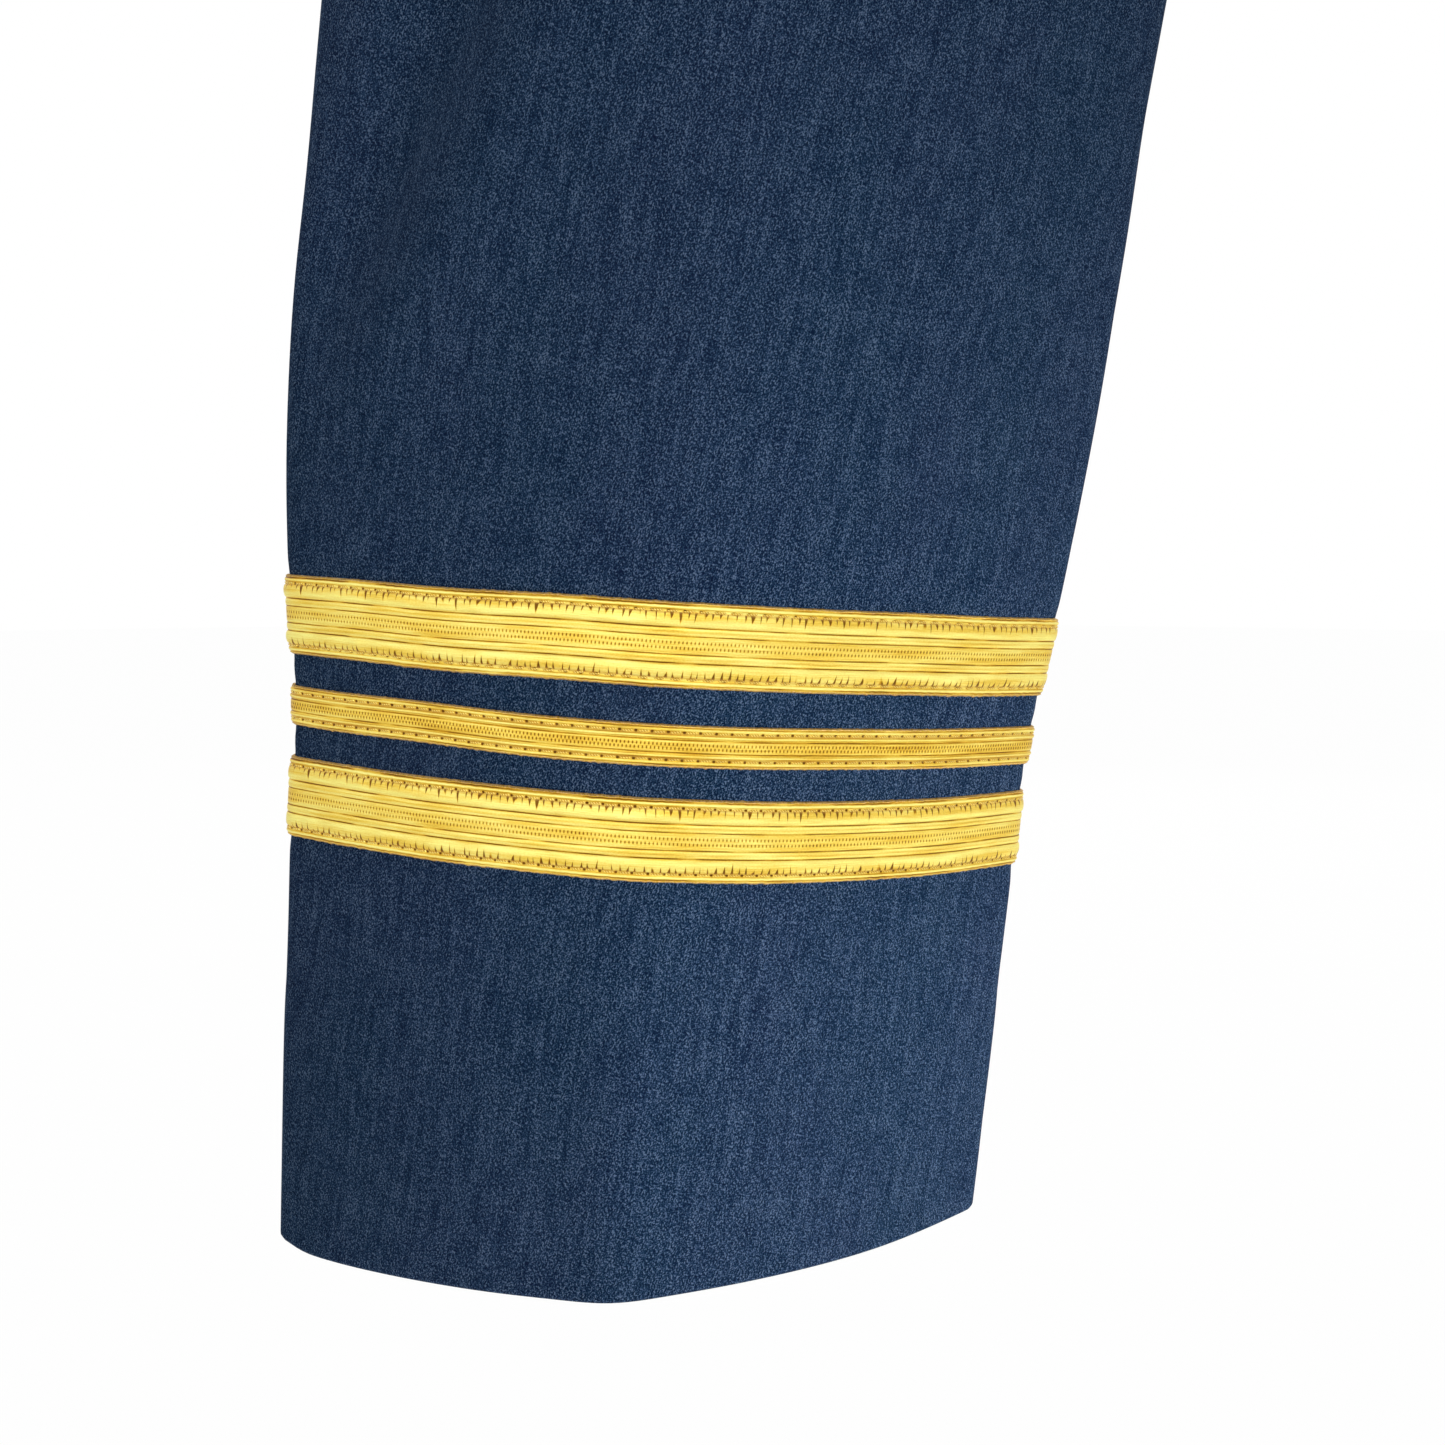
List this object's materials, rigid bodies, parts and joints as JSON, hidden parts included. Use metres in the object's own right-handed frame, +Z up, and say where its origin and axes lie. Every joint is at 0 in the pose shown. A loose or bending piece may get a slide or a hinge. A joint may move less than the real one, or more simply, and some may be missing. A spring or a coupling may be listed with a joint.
{
  "type": "jacket sleeve",
  "caption": "Left sleeve of a navy uniform jacket, hanging, with gold lace rank braids sewn round the cuff, a turned-up hem and a full lining.",
  "frame": {"origin": "centre of the armhole seam", "axes": "+Z up along the hanging sleeve, -Y the outer side, +Y the side next to the body, -X the wearer's front"},
  "size_m": [0.1799, 0.1006, 0.6056],
  "materials": {
    "navy_wool": "melange wool twill, matt with a soft nap",
    "lining_satin": "smooth satin lining",
    "interlining": "stiff woven interlining",
    "gold_lace": "metallic gold lace braid, ribbed",
    "gold_thread": "metallic gold sewing thread",
    "navy_thread": "matt polyester sewing thread",
    "wadding": "soft white wadding"
  },
  "bodies": {
    "root": {"top_sleeve_panel": "navy_wool", "under_sleeve_panel": "navy_wool", "cuff_interlining": "interlining", "lining_top_panel": "lining_satin", "lining_under_panel": "lining_satin", "front_seam_thread": "navy_thread", "back_seam_thread": "navy_thread", "lining_front_seam_thread": "navy_thread", "lining_back_seam_thread": "navy_thread", "lower_braid": "gold_lace", "middle_braid": "gold_lace", "upper_braid": "gold_lace", "lower_braid_lower_stitching": "gold_thread", "lower_braid_upper_stitching": "gold_thread", "middle_braid_lower_stitching": "gold_thread", "middle_braid_upper_stitching": "gold_thread", "upper_braid_lower_stitching": "gold_thread", "upper_braid_upper_stitching": "gold_thread", "hem_stitching": "navy_thread", "lining_hem_stitching": "navy_thread", "sleeve_head_roll": "wadding", "armhole_stitching": "navy_thread"}
  },
  "joints": []
}
